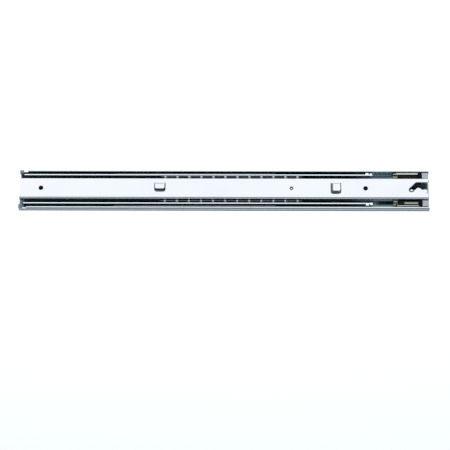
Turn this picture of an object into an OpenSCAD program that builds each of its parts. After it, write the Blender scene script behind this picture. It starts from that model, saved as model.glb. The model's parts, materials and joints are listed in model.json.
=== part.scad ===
// Three-section, full-extension ball-bearing drawer slide with bayonet hooks.
// X runs along the slide and points the way the drawer opens, Z is up, and the drawer side faces -Y.
// The origin is the centre of the cabinet screw hole, on the face that lies against the cabinet.
// Outlines are drawn in two ways: (depth, height) across the slide, and (run, height) along it, where
// depth is measured from the cabinet face and run from the front end.

/* [Overall] */
// Length of the slide when closed
slide_length = 450; // [380:1:600]
// Height over the outer rail
slide_height = 45.6; // [38:0.1:56]
// Installed thickness, from the cabinet face to the drawer face
slide_thickness = 12.7; // [12:0.1:16]
// Depth of the outer and middle rails' flanges
flange_depth = 10.4; // [9:0.1:12.5]

/* [Sheet] */
// Steel thickness of the outer rail
outer_sheet = 1.2; // [1:0.05:1.5]
// Steel thickness of the middle rail
middle_sheet = 1.2; // [1:0.05:1.5]
// Steel thickness of the inner rail
inner_sheet = 1.2; // [1:0.05:1.5]
// Outside bend radius of the outer and middle rails
outer_bend = 2; // [1.6:0.1:2.4]
// Outside bend radius of the inner rail
inner_bend = 1.8; // [1.6:0.1:2.4]

/* [Balls] */
// Ball diameter
ball_d = 4.5; // [3.7:0.1:5.4]
// Gap between a ball and its groove
race_clear = 0.15; // [0.1:0.01:0.25]
// How far a groove is rolled into its flange
groove_depth = 0.3; // [0.2:0.05:0.4]
// Depth of the outer balls' centres from the cabinet face
outer_ball_depth = 5.1; // [4.9:0.1:5.4]
// Depth of the inner balls' centres from the cabinet face
inner_ball_depth = 8.7; // [8.4:0.1:8.8]
// Distance from ball to ball
ball_pitch = 13.2; // [11:0.1:16]
// Balls in each outer row
outer_ball_count = 13; // [10:1:13]
// Balls in each inner row
inner_ball_count = 12; // [10:1:12]

/* [Cages] */
// Steel thickness of the ball cages
cage_sheet = 0.5; // [0.4:0.05:0.7]
// Running gap between a cage and the rails on both sides of it
cage_gap = 0.25; // [0.2:0.05:0.4]
// Run at which the outer cage begins
outer_cage_start = 105; // [104:1:140]
// Length of the outer cage
outer_cage_length = 177; // [176:1:190]
// Run at which the inner cage begins
inner_cage_start = 155.6; // [140:0.1:160]
// Length of the inner cage
inner_cage_length = 155.4; // [155:0.1:170]

/* [Travel] */
// How far the middle rail slides out of the outer rail
middle_travel = 196; // [150:1:200]
// How far the inner rail slides out of the middle rail
inner_travel = 254; // [200:1:260]
// Setback of the middle rail from the front end
middle_setback = 5; // [3:0.5:8]
// Setback of the inner rail from the front and rear ends
inner_setback = 0.6; // [0:0.1:1.5]
// Distance of the middle rail's rear end from the slide's rear end
middle_rear_gap = 62; // [58:1:80]

/* [Holes and hooks] */
// Diameter of the screw holes
screw_hole_d = 5; // [3.8:0.1:5.5]
// Run of the cabinet screw hole
cabinet_hole_run = 6.8; // [6:0.1:12]
// Run of the front screw hole on the drawer side
drawer_hole_front = 24.2; // [20:0.1:40]
// Distance of the rear drawer screw hole from the rear end
drawer_hole_rear = 69.7; // [60:0.1:90]
// How far the hooks stand out of their rail
hook_proud = 2.6; // [2.2:0.1:3]
// Gap beside a hook in its window
hook_side_gap = 0.6; // [0.4:0.1:1]

/* [Rear clip] */
// Steel thickness of the rear bracket
bracket_sheet = 1.2; // [1:0.1:1.4]
// Distance of the rear rivet from the rear end
rivet_rear = 4.8; // [4.5:0.1:6]
// Radius of the rear rivet's shank
rivet_r = 1.7; // [1.4:0.05:2]
// Gap left between the rear clip and the inner rail
clip_clear = 0.5; // [0.4:0.1:0.8]
// Radius of the nylon tips
tip_r = 2.9; // [2.4:0.1:3]

/* [Levers] */
// Run of the disconnect lever's pivot
lever_run = 299.3; // [280:0.1:305]
// Radius of the disconnect lever's pivot
lever_pivot_r = 1.5; // [1.2:0.05:1.7]
// Reach of the disconnect lever's nose from its pivot
lever_nose = 9.7; // [8:0.1:12]
// Running gap of the levers on their pivots
pivot_clear = 0.08; // [0.05:0.01:0.1]
// Radius of the follower pin
pin_r = 1.5; // [1.3:0.05:1.7]

/* [Hidden] */
$fn = 40;

// A cut runs this much past the face that it leaves through
over = 0.5;
ball_r = ball_d / 2;
race_r = ball_r + race_clear;
screw_hole_r = screw_hole_d / 2;

// Heights across the slide, from the outer flange inwards
outer_top = slide_height / 2;
outer_flat = outer_top - groove_depth;
outer_ball_z = outer_top - outer_sheet - race_r;
middle_top = outer_ball_z - race_r + groove_depth;
middle_under = middle_top - middle_sheet;

// The middle rail's flange runs in an S between the two ball rows, one sheet thick all the way
row_step = sqrt(pow(2 * race_r + middle_sheet, 2) - pow(inner_ball_depth - outer_ball_depth, 2));
inner_ball_z = outer_ball_z - row_step;
lip_under = inner_ball_z + race_r - groove_depth;
lip_top = lip_under + middle_sheet;
inner_top = inner_ball_z - race_r + groove_depth;
inner_under = inner_top - inner_sheet;

// Depths from the cabinet face
outer_cage_depth = outer_sheet + cage_gap;
middle_depth = outer_cage_depth + cage_sheet + cage_gap;
middle_inside = middle_depth + middle_sheet;
inner_cage_depth = middle_inside + cage_gap;
inner_inside = slide_thickness - inner_sheet;
inner_flange_back = inner_ball_depth - race_r - groove_depth - 0.1;
outer_cage_lip = outer_ball_depth + ball_r + 1.3;
inner_cage_lip = inner_ball_depth + ball_r + 0.05;

// Runs from the front end
middle_end = slide_length - middle_rear_gap;
stop_run = middle_end + 0.6;
rivet_run = slide_length - rivet_rear;
outer_cage_end = outer_cage_start + outer_cage_length;
inner_cage_end = inner_cage_start + inner_cage_length;
crimp_run = outer_cage_end - middle_travel / 2 + middle_travel + 0.5;
crimp_length = 3.4;
crimp_depth = 1.2;
crimp_end_r = 1.6;
latch_rear = lever_run - lever_nose - inner_travel - 0.3;
drawer_hole_rear_run = slide_length - drawer_hole_rear;

// Windows of the hooks: [run of the centre, width, height at the root, height at the open end]
cabinet_hooks = [
    [27.9, 17.3, 8.8, -6.5],
    [slide_length - 124.2, 16.6, 8.8, -8.0]
];
drawer_hooks = [
    [155.0, 11.8, -6.2, 4.2],
    [slide_length - 102.1, 11.1, -6.4, 6.6]
];
hook_mouth = 2.4;
hook_rise = 1.9;
hook_chamfer = 2.6;
hook_corner_r = 1.8;

// Front stop lugs on the outer flanges and the notches behind them
lug_length = 4.2;
lug_notch = 4.4;
lug_depth = 2.4;
lug_reach = lip_top + groove_depth + 0.5;

// Stop tab lanced out of the outer rail's web
stop_half = 9.3;
stop_bend = 0.5;
stop_width = 3.1;

// Half-sheared lugs that locate the rear bracket
locator_z = 13.2;
locator_run = 4;
locator_height = 6.4;
locator_lift = 0.6;
locator_fit = 0.15;

// Open slot at the rear of the inner rail, in distances ahead of the rear end
slot_r = pin_r + 1.3;
slot_end = [slide_length - 19.5, 1.6];
slot_turn = [slide_length - 13.4, -4.6];
slot_hump_z = -0.8;
slot_mouth_z = 7.9;

// Rear clip: walls beside the outer balls' path, pads and ears towards the inner rail
wall_in = outer_ball_z - 0.3;
wall_out = wall_in + bracket_sheet;
arm_sheet = 0.8;
arm_in = wall_in - arm_sheet;
pad_in = inner_top + clip_clear + 0.6;
ear_in = inner_top + clip_clear + 0.4;
buffer_in = inner_top + clip_clear;
clip_front = slide_length - 35.3;
buffer_front = slide_length - 12;
buffer_rear = slide_length - 8;
bracket_rear = slide_length - 1;
clip_top = flange_depth - 0.5;
tip_run = clip_front - 1.7;
tip_z = (pad_in + wall_out) / 2 - 0.2;
tip_slot_half = 0.8;
tip_slot_depth = 2;

// Levers, and the latch on the middle rail that the disconnect lever meets
interlock_depth = outer_sheet + bracket_sheet + 0.4;
interlock_sheet = 1.4;
pin_top = inner_inside - 0.3;
lever_top = inner_inside - 0.3;
lever_sheet = 2.4;
latch_top = middle_inside + 2.4;
latch_length = 6;
latch_z = [-2.2, 0.6];

// --- Helpers -------------------------------------------------------------------------------------

// Extrudes a (depth, height) outline along the slide from run a to run b
module across(a, b) {
    translate([cabinet_hole_run - b, 0, 0])
        rotate([90, 0, 90])
            linear_extrude(b - a)
                mirror([1, 0])
                    children();
}

// Extrudes a (run, height) outline from depth a to depth b
module facing(a, b) {
    translate([cabinet_hole_run, -a, 0])
        rotate([90, 0, 0])
            linear_extrude(b - a)
                mirror([1, 0])
                    children();
}

// Extrudes a (run, depth) outline upwards from height a to height b
module standing(a, b) {
    translate([cabinet_hole_run, 0, a])
        linear_extrude(b - a)
            rotate(180)
                children();
}

// A round bar or hole square to the slide's faces
module post(run, z, a, b, r) {
    translate([cabinet_hole_run - run, -a, z])
        rotate([90, 0, 0])
            cylinder(h = b - a, r = r);
}

module both_halves() {
    children();
    mirror([0, 1]) children();
}

// A rectangle from one corner to the other
module span(a, b) {
    translate([min(a.x, b.x), min(a.y, b.y)])
        square([abs(b.x - a.x), abs(b.y - a.y)]);
}

module at(p) {
    translate(p) children();
}

// Unit vector at an angle from the depth axis
function heading(a) = [cos(a), sin(a)];

// Quarter of a bend, from the web round to the flange
module bend(r, sheet) {
    intersection() {
        difference() {
            circle(r);
            circle(r - sheet);
        }
        translate([-r, 0]) square(r);
    }
}

// The swell that a rolled groove raises on the far face of its flange
module swell(depth, ball_z, sheet, from_z, to_z) {
    intersection() {
        at([depth, ball_z]) circle(race_r + sheet);
        span([depth - 3 * race_r, from_z], [depth + 3 * race_r, to_z]);
    }
}

module groove(depth, ball_z) {
    at([depth, ball_z]) circle(race_r);
}

// --- Rail sections -------------------------------------------------------------------------------

module outer_section() {
    bend_z = outer_flat - outer_bend;
    span([0, -bend_z], [outer_sheet, bend_z]);
    both_halves() {
        at([outer_bend, bend_z]) bend(outer_bend, outer_sheet);
        difference() {
            union() {
                span([outer_bend, outer_flat - outer_sheet], [flange_depth, outer_flat]);
                swell(outer_ball_depth, outer_ball_z, outer_sheet, outer_flat - 0.5, outer_top + 1);
            }
            groove(outer_ball_depth, outer_ball_z);
        }
    }
}

// Part of a rolled race round a ball's centre, between two directions
module race_band(depth, ball_z, sheet, from, to) {
    reach = 2 * (race_r + sheet);
    at([depth, ball_z])
        intersection() {
            difference() {
                circle(race_r + sheet);
                circle(race_r);
            }
            polygon([[0, 0], reach * heading(from), reach * heading(to)]);
        }
}

module middle_section() {
    bend_z = middle_top - outer_bend;
    slope = atan2(row_step, inner_ball_depth - outer_ball_depth);
    flat = acos(1 - groove_depth / (race_r + middle_sheet));
    link = [outer_ball_depth, outer_ball_z] + (race_r + middle_sheet / 2) * heading(-slope);
    span([middle_depth, -bend_z], [middle_inside, bend_z]);
    both_halves()
        difference() {
            union() {
                at([middle_depth + outer_bend, bend_z]) bend(outer_bend, middle_sheet);
                span([middle_depth + outer_bend, middle_under], [outer_ball_depth, middle_top]);
                race_band(outer_ball_depth, outer_ball_z, middle_sheet, -90 - flat, -slope);
                at(link) circle(middle_sheet / 4);
                race_band(inner_ball_depth, inner_ball_z, middle_sheet, 90 - flat, 180 - slope);
                span([inner_ball_depth, lip_under], [flange_depth, lip_top]);
            }
            groove(outer_ball_depth, outer_ball_z);
            groove(inner_ball_depth, inner_ball_z);
        }
}

module inner_section() {
    bend_z = inner_top - inner_bend;
    span([inner_inside, -bend_z], [slide_thickness, bend_z]);
    both_halves() {
        at([slide_thickness - inner_bend, bend_z]) mirror([1, 0]) bend(inner_bend, inner_sheet);
        difference() {
            union() {
                span([inner_flange_back, inner_under], [slide_thickness - inner_bend, inner_top]);
                swell(inner_ball_depth, inner_ball_z, inner_sheet, inner_under - 2, inner_under + 0.5);
            }
            groove(inner_ball_depth, inner_ball_z);
        }
    }
}

// --- Hooks ---------------------------------------------------------------------------------------

// A lanced hook in section: x is out of the sheet, y is away from its root
module hook_section(reach, sheet) {
    polygon([
        [0, -0.6], [0, 0], [hook_proud, hook_rise], [hook_proud, reach],
        [hook_proud - sheet, reach], [hook_proud - sheet, hook_rise + 0.55],
        [-sheet, 0.9], [-sheet, -0.6]
    ]);
}

module hook_window(hook) {
    half = hook[1] / 2;
    span([hook[0] - half, hook[2]], [hook[0] + half, hook[3]]);
}

// The corner that is cut off the free end of a cabinet hook
module hook_corner(hook) {
    edge = hook[0] + hook[1] / 2 - hook_side_gap;
    tip = hook[3] + hook_mouth;
    polygon([
        [edge - hook_chamfer, tip - over], [edge + over, tip - over],
        [edge + over, tip + hook_chamfer], [edge, tip + hook_chamfer], [edge - hook_chamfer, tip]
    ]);
}

module cabinet_hook(hook) {
    half = hook[1] / 2 - hook_side_gap;
    difference() {
        across(hook[0] - half, hook[0] + half)
            at([0, hook[2]])
                rotate(180)
                    hook_section(hook[2] - hook[3] - hook_mouth, outer_sheet);
        facing(-hook_proud - over, -0.1) hook_corner(hook);
    }
}

// What is cut away to round both corners at an edge of height z, half a width either side of a run
module round_corners(run, half, z, r) {
    for (side = [-1, 1])
        difference() {
            span([run + side * (half - r), z - r], [run + side * (half + over), z + over]);
            at([run + side * (half - r), z - r]) circle(r);
        }
}

module drawer_hook(hook) {
    half = hook[1] / 2 - hook_side_gap;
    difference() {
        across(hook[0] - half, hook[0] + half)
            at([slide_thickness, hook[2]])
                hook_section(hook[3] - hook[2] - hook_mouth, inner_sheet);
        facing(slide_thickness + 0.1, slide_thickness + hook_proud + over)
            round_corners(hook[0], half, hook[3] - hook_mouth, hook_corner_r);
    }
}

// The window that a drawer hook is lanced from, with its free corners rounded
module drawer_window(hook) {
    difference() {
        hook_window(hook);
        round_corners(hook[0], hook[1] / 2, hook[3], hook_corner_r + 0.6);
    }
}

// --- Rails ---------------------------------------------------------------------------------------

module outer_rail() {
    color("lightsteelblue") {
        difference() {
            across(0, slide_length) outer_section();
            post(cabinet_hole_run, 0, -over, outer_sheet + over, screw_hole_r);
            post(rivet_run, 0, -over, outer_sheet + over, rivet_r + 0.05);
            for (hook = cabinet_hooks)
                facing(-over, outer_sheet + over) hook_window(hook);
            stop_window();
            locators(-over, locator_lift);
            front_notches();
        }
        for (hook = cabinet_hooks) cabinet_hook(hook);
        stop_tab();
        locators(outer_sheet - 0.2, outer_sheet + locator_lift);
        front_lugs();
    }
}

// The stop tab is bent inwards behind the middle rail
module stop_tab() {
    turn = stop_bend + outer_sheet;
    standing(-stop_half, stop_half) {
        at([stop_run - stop_bend, turn])
            intersection() {
                difference() {
                    circle(turn);
                    circle(stop_bend);
                }
                translate([0, -turn]) square(turn);
            }
        span([stop_run, turn], [stop_run + outer_sheet, middle_inside + 0.5]);
    }
}

module stop_window() {
    facing(-over, outer_sheet + over)
        span([stop_run - stop_bend, -stop_half], [stop_run + outer_sheet + stop_width, stop_half]);
}

module locators(a, b) {
    half_run = locator_run / 2;
    half_height = locator_height / 2;
    facing(a, b)
        both_halves()
            span(
                [rivet_run - half_run, locator_z - half_height],
                [rivet_run + half_run, locator_z + half_height]
            );
}

module front_notches() {
    across(lug_length, lug_length + lug_notch)
        both_halves()
            span(
                [flange_depth - lug_depth - 0.4, outer_flat - outer_sheet - over],
                [flange_depth + over, outer_top + over]
            );
}

module front_lugs() {
    across(0, lug_length)
        both_halves()
            span([flange_depth - lug_depth, lug_reach], [flange_depth, outer_flat - outer_sheet + 0.2]);
}

module middle_rail() {
    color("silver") {
        difference() {
            across(middle_setback, middle_end) middle_section();
            latch_window();
        }
        latch();
        // Crimped lugs that carry the outer cage's end, and the round end of each lip behind them
        facing(flange_depth - crimp_depth, flange_depth)
            both_halves() {
                span([crimp_run, lip_top - 0.3], [crimp_run + crimp_length, outer_ball_z + 0.4]);
                at([middle_end - crimp_end_r, lip_top]) circle(crimp_end_r);
            }
    }
}

// A lance on the middle rail's web that catches the disconnect lever at full extension
module latch() {
    front = latch_rear - latch_length;
    standing(latch_z[0], latch_z[1])
        polygon([
            [front - 0.6, middle_inside], [front, middle_inside], [latch_rear - 0.6, latch_top],
            [latch_rear, latch_top], [latch_rear, latch_top - middle_sheet],
            [front + 1.2, middle_depth], [front - 0.6, middle_depth]
        ]);
}

module latch_window() {
    facing(middle_depth - over, middle_inside + over)
        span([latch_rear - latch_length, latch_z[0] - 0.4], [latch_rear + 0.6, latch_z[1] + 0.4]);
}

module inner_rail() {
    color("gainsboro") {
        difference() {
            across(inner_setback, slide_length - inner_setback) inner_section();
            post(drawer_hole_front, 0, inner_inside - over, slide_thickness + over, screw_hole_r);
            post(drawer_hole_rear_run, 0, inner_inside - over, slide_thickness + over, screw_hole_r);
            post(lever_run, 0, inner_inside - over, slide_thickness + over, lever_pivot_r + 0.05);
            for (hook = drawer_hooks)
                facing(inner_inside - over, slide_thickness + over) drawer_window(hook);
            facing(inner_inside - over, slide_thickness + over) cam_slot();
        }
        for (hook = drawer_hooks) drawer_hook(hook);
    }
}

module cam_slot() {
    along = slot_turn - slot_end;
    side = [-along.y, along.x] * slot_r / norm(along);
    past = slide_length + 1;
    at(slot_end) circle(slot_r);
    at(slot_turn) circle(slot_r);
    polygon([slot_end + side, slot_turn + side, slot_turn - side, slot_end - side]);
    polygon([
        [slot_turn.x, slot_turn.y - slot_r], [past, slot_turn.y - slot_r], [past, slot_mouth_z + 0.8],
        [slot_turn.x + 3.6, slot_hump_z + 0.8], [slot_turn.x + 2.2, slot_hump_z],
        [slot_turn.x + 0.5, slot_hump_z], [slot_turn.x - 0.4, slot_hump_z + 0.6]
    ]);
}

// --- Balls and cages -----------------------------------------------------------------------------

// Run of ball k in a row centred in its cage
function ball_run(start, length, count, k) = start + length / 2 + (k - (count - 1) / 2) * ball_pitch;

module ball_row(start, length, count, depth, z) {
    for (k = [0:count - 1])
        translate([cabinet_hole_run - ball_run(start, length, count, k), -depth, z])
            sphere(r = ball_r, $fn = 24);
}

module ball_pockets(start, length, count, depth, z) {
    for (k = [0:count - 1], side = [-1, 1])
        translate([cabinet_hole_run - ball_run(start, length, count, k), -depth, side * z - 1])
            cylinder(h = 2, r = ball_r + race_clear);
}

// A cage in section: a thin web and a strip along each row of balls
module cage_section(web, lip, ball_z) {
    strip = ball_z - cage_sheet / 2;
    turn = 1.2;
    span([web, -(strip + cage_sheet - turn)], [web + cage_sheet, strip + cage_sheet - turn]);
    both_halves() {
        at([web + turn, strip + cage_sheet - turn]) bend(turn, cage_sheet);
        span([web + turn, strip], [lip, strip + cage_sheet]);
    }
}

// Openings that leave the cage's web as a ladder, with open ends
module cage_windows(start, end, half) {
    bars = 3;
    bar = 12;
    notch = 14;
    step = (end - start - 2 * notch) / bars;
    span([start - over, -half], [start + notch, half]);
    span([end - notch, -half], [end + over, half]);
    for (k = [0:bars - 1])
        span([start + notch + k * step + bar / 2, -half], [start + notch + (k + 1) * step - bar / 2, half]);
}

// Raised ribs and pips between the pockets of a row, in turn
module cage_beads(start, length, count, lip, z) {
    for (k = [0:count - 2], side = [-1, 1]) {
        middle = (ball_run(start, length, count, k) + ball_run(start, length, count, k + 1)) / 2;
        low = side * z - cage_sheet / 2 - 0.25;
        if (k % 2 == 0)
            translate([cabinet_hole_run - middle - 2.5, -(lip - 0.4), low])
                cube([5, 0.8, cage_sheet + 0.5]);
        else
            for (dot = [-1.6, 1.6])
                translate([cabinet_hole_run - middle - dot, -(lip - 0.9), low])
                    cylinder(h = cage_sheet + 0.5, r = 0.5);
    }
}

module outer_cage() {
    color("dimgray")
        difference() {
            across(outer_cage_start, outer_cage_end)
                cage_section(outer_cage_depth, outer_cage_lip, outer_ball_z);
            ball_pockets(
                outer_cage_start, outer_cage_length, outer_ball_count, outer_ball_depth, outer_ball_z
            );
            facing(outer_cage_depth - over, outer_cage_depth + cage_sheet + 0.2)
                cage_windows(outer_cage_start, outer_cage_end, outer_ball_z - 6);
        }
}

module inner_cage() {
    color("slategray") {
        difference() {
            across(inner_cage_start, inner_cage_end)
                cage_section(inner_cage_depth, inner_cage_lip, inner_ball_z);
            ball_pockets(
                inner_cage_start, inner_cage_length, inner_ball_count, inner_ball_depth, inner_ball_z
            );
            facing(inner_cage_depth - over, inner_cage_depth + cage_sheet + 0.2)
                cage_windows(inner_cage_start, inner_cage_end, inner_ball_z - 5);
        }
        cage_beads(
            inner_cage_start, inner_cage_length, inner_ball_count, inner_cage_lip, inner_ball_z
        );
    }
}

module outer_balls(side) {
    color("whitesmoke")
        ball_row(
            outer_cage_start, outer_cage_length, outer_ball_count, outer_ball_depth, side * outer_ball_z
        );
}

module inner_balls(side) {
    color("whitesmoke")
        ball_row(
            inner_cage_start, inner_cage_length, inner_ball_count, inner_ball_depth, side * inner_ball_z
        );
}

module outer_balls_upper() { outer_balls(1); }
module outer_balls_lower() { outer_balls(-1); }
module inner_balls_upper() { inner_balls(1); }
module inner_balls_lower() { inner_balls(-1); }

// --- Rear clip -----------------------------------------------------------------------------------

module rear_bracket() {
    base_top = outer_sheet + bracket_sheet;
    slot_half = [locator_run / 2 + locator_fit, locator_height / 2 + locator_fit];
    color("lightgray")
        difference() {
            union() {
                facing(outer_sheet, base_top) span([clip_front + 12, -wall_out], [bracket_rear, wall_out]);
                facing(outer_sheet, clip_top)
                    both_halves() span([clip_front, wall_in], [bracket_rear, wall_out]);
                facing(outer_sheet, base_top)
                    both_halves() span([clip_front, wall_in - 4], [clip_front + 12.5, wall_out]);
                facing(clip_top - bracket_sheet, clip_top)
                    both_halves() span([buffer_rear + 0.4, ear_in], [bracket_rear, wall_out]);
            }
            post(rivet_run, 0, outer_sheet - over, base_top + over, rivet_r + 0.05);
            facing(outer_sheet - over, base_top + over)
                both_halves()
                    span(
                        [rivet_run - slot_half.x, locator_z - slot_half.y],
                        [rivet_run + slot_half.x, locator_z + slot_half.y]
                    );
        }
}

// Tubular rivet: a rolled ring on the cabinet face, and a shank that carries the interlock lever
module rear_rivet() {
    ring_r = 3.4;
    ring_proud = 0.7;
    hollow_r = 0.95;
    shank_top = interlock_depth + interlock_sheet + 0.3;
    color("silver")
        translate([cabinet_hole_run - rivet_run, 0, 0])
            rotate([90, 0, 0])
                difference() {
                    union() {
                        translate([0, 0, -ring_proud]) cylinder(h = ring_proud, r = ring_r);
                        translate([0, 0, -over / 2]) cylinder(h = shank_top + over / 2, r = rivet_r);
                        translate([0, 0, shank_top]) cylinder(h = 0.8, r = rivet_r + 1.1);
                    }
                    translate([0, 0, -ring_proud - over]) cylinder(h = over + 0.5, r = hollow_r + 0.4);
                    rotate_extrude()
                        translate([ring_r + 0.1, -ring_proud - 0.1]) circle(0.5);
                }
}

module spring_arm(side) {
    color("lightslategray")
        mirror([0, 0, side > 0 ? 0 : 1])
            facing(4.6, clip_top + 0.2)
                span([tip_run, arm_in], [buffer_front - 0.3, wall_in]);
}

module arm_pad(side) {
    pad_front = tip_run + tip_r + 0.4;
    pad_rear = buffer_front - 0.3;
    color("darkslategray")
        mirror([0, 0, side > 0 ? 0 : 1])
            facing(5, clip_top - 0.1)
                polygon([
                    [pad_front, arm_in], [pad_rear, arm_in], [pad_rear, pad_in],
                    [pad_front + 5, pad_in], [pad_front, pad_in + 1.2]
                ]);
}

module arm_tip(side) {
    color("beige")
        mirror([0, 0, side > 0 ? 0 : 1])
            difference() {
                post(tip_run, tip_z, 5, clip_top, tip_r);
                // The slot that parts the tip into two lips
                facing(clip_top - tip_slot_depth, clip_top + over)
                    span(
                        [tip_run - tip_r - over, tip_z - tip_slot_half],
                        [tip_run + tip_r + over, tip_z + tip_slot_half]
                    );
                facing(5 - over, clip_top + over)
                    span([tip_run - over / 2, arm_in - 0.1], [tip_run + tip_r + over, wall_in + 2]);
            }
}

module rear_buffer(side) {
    color("black")
        mirror([0, 0, side > 0 ? 0 : 1])
            difference() {
                facing(outer_sheet + bracket_sheet + 0.3, flange_depth - 0.1)
                    span([buffer_front, buffer_in], [buffer_rear, wall_out + 0.9]);
                facing(0, clip_top)
                    span([buffer_front - over, wall_in - 0.1], [buffer_rear + over, wall_out + 0.1]);
            }
}

module spring_arm_upper() { spring_arm(1); }
module spring_arm_lower() { spring_arm(-1); }
module arm_pad_upper() { arm_pad(1); }
module arm_pad_lower() { arm_pad(-1); }
module arm_tip_upper() { arm_tip(1); }
module arm_tip_lower() { arm_tip(-1); }
module rear_buffer_upper() { rear_buffer(1); }
module rear_buffer_lower() { rear_buffer(-1); }

// --- Levers --------------------------------------------------------------------------------------

// Plastic lever behind the inner rail: its nose meets the latch on the middle rail
module disconnect_lever() {
    nose_run = lever_run - lever_nose;
    low = lever_top - lever_sheet;
    color("dimgray")
        difference() {
            union() {
                post(lever_run, 0, low, lever_top, 4.8);
                facing(low, lever_top)
                    polygon([
                        [nose_run, -1.6], [nose_run, 2.4], [lever_run, 4.4], [lever_run + 24, 6],
                        [lever_run + 30, 5.6], [lever_run + 30, 1.4], [lever_run + 22, 1.6],
                        [lever_run, -4.2]
                    ]);
                facing(latch_top - 1.2, low + 0.2) span([nose_run, -1.6], [nose_run + 2.6, 2.4]);
            }
            post(lever_run, 0, low - over, lever_top + over, lever_pivot_r + pivot_clear);
        }
}

module lever_eyelet() {
    low = lever_top - lever_sheet;
    color("saddlebrown")
        difference() {
            union() {
                post(lever_run, 0, low - 0.7, low - 0.2, lever_pivot_r + 1);
                post(lever_run, 0, low - 0.3, slide_thickness + 0.1, lever_pivot_r);
                post(lever_run, 0, slide_thickness, slide_thickness + 0.35, lever_pivot_r + 0.65);
            }
            post(lever_run, 0, slide_thickness - 0.6, slide_thickness + over, lever_pivot_r - 0.5);
        }
}

// Follower lever of the interlock, on the rear rivet
module interlock_lever() {
    toe = slot_end;
    top = interlock_depth + interlock_sheet;
    color("gray")
        difference() {
            union() {
                post(rivet_run, 0, interlock_depth, top, 3.4);
                post(toe.x, toe.y, interlock_depth, top, 3);
                facing(interlock_depth, top)
                    polygon([
                        [rivet_run, -3.3], [rivet_run, 3.3], [toe.x, toe.y + 3], [toe.x, toe.y - 3]
                    ]);
            }
            post(rivet_run, 0, interlock_depth - over, top + over, rivet_r + pivot_clear);
            post(toe.x, toe.y, interlock_depth - over, top + over, pin_r - 0.3);
        }
}

module follower_pin() {
    color("white") {
        post(slot_end.x, slot_end.y, interlock_depth, interlock_depth + interlock_sheet + 0.1, pin_r - 0.3);
        post(slot_end.x, slot_end.y, interlock_depth + interlock_sheet, pin_top, pin_r);
    }
}

outer_rail();
middle_rail();
inner_rail();
outer_cage();
outer_balls_upper();
outer_balls_lower();
inner_cage();
inner_balls_upper();
inner_balls_lower();
rear_bracket();
rear_rivet();
spring_arm_upper();
spring_arm_lower();
arm_pad_upper();
arm_pad_lower();
arm_tip_upper();
arm_tip_lower();
rear_buffer_upper();
rear_buffer_lower();
disconnect_lever();
lever_eyelet();
interlock_lever();
follower_pin();
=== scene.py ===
"""Finish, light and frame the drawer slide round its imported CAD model."""

import json
import math

import bmesh
import bpy
from bpy.props import FloatProperty, FloatVectorProperty, IntProperty, PointerProperty
from mathutils import Matrix, Vector

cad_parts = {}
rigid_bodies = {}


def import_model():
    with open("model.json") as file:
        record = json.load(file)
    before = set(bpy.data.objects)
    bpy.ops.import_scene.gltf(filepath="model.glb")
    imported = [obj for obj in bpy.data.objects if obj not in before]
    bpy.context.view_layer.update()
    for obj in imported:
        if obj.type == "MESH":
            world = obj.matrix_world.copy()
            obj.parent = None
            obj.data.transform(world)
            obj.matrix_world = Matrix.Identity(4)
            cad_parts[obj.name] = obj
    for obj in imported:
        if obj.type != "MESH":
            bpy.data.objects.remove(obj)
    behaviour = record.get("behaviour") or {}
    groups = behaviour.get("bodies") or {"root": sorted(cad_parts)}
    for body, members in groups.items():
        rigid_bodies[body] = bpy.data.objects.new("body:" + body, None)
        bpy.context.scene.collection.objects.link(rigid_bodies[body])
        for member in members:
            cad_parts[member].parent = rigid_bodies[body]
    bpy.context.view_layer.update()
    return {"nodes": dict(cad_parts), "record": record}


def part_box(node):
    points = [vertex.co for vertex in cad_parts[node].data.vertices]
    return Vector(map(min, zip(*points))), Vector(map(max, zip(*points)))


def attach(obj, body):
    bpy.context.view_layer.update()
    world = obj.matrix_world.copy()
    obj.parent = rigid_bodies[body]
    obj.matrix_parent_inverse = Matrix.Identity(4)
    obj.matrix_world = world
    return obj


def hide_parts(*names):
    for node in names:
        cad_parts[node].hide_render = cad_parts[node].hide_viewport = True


bl_info = {
    "name": "Drawer Slide Finish",
    "version": (1, 0, 0),
    "blender": (4, 5, 0),
    "location": "View3D > Sidebar > Drawer Slide",
    "description": "Finishes, lights and frames a ball-bearing drawer slide round its CAD model",
    "category": "Object",
}

for leftover in list(bpy.data.objects):
    bpy.data.objects.remove(leftover)

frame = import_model()

X, Y = 0, 1
SIDES = ("upper", "lower")
MM = 0.001
OUTER_LOW, OUTER_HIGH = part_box("outer_rail")
INNER_LOW, INNER_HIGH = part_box("inner_rail")

SHEET = 1.2 * MM            # steel of the three rails and the bracket
PAST_MIDDLE = 0.6 * SHEET   # from a sheet's outer face to just past its middle
GROOVE = 0.3 * MM           # depth of the ball grooves
LIP_END = 0.12 * MM         # depth of a lip's end that counts as its sheared face
LUG_LENGTH = 6.0 * MM       # front lugs of the outer rail, with their notches
SLOT_RIM = 0.4 * MM         # how far the cam slot's round end stands round the pin
SLIT = 0.95 * MM            # half the width of the slit in an arm tip
SKIN = 0.1 * MM             # how far into a face its rounded edge may run
HOLLOW = 0.95 * MM          # radius of the eyelet's bright hollow
HOOK_REACH = 12.0 * MM      # no part of a hook is further than this from its mount
HOOK_PROUD = OUTER_HIGH.y   # height of the hooks over the webs
WEB_FACE = INNER_LOW.y + HOOK_PROUD

TOUCH = 0.01 * MM           # nearer than this counts as lying on a plane
MERGE = 0.001 * MM          # corners nearer than this are one corner
FLAT = math.radians(0.5)    # faces that turn by less than this are one face
SHARP = math.radians(35.0)  # edges that turn by more than this are rounded
TURN_STEPS = 48             # steps of a turned piece

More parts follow.
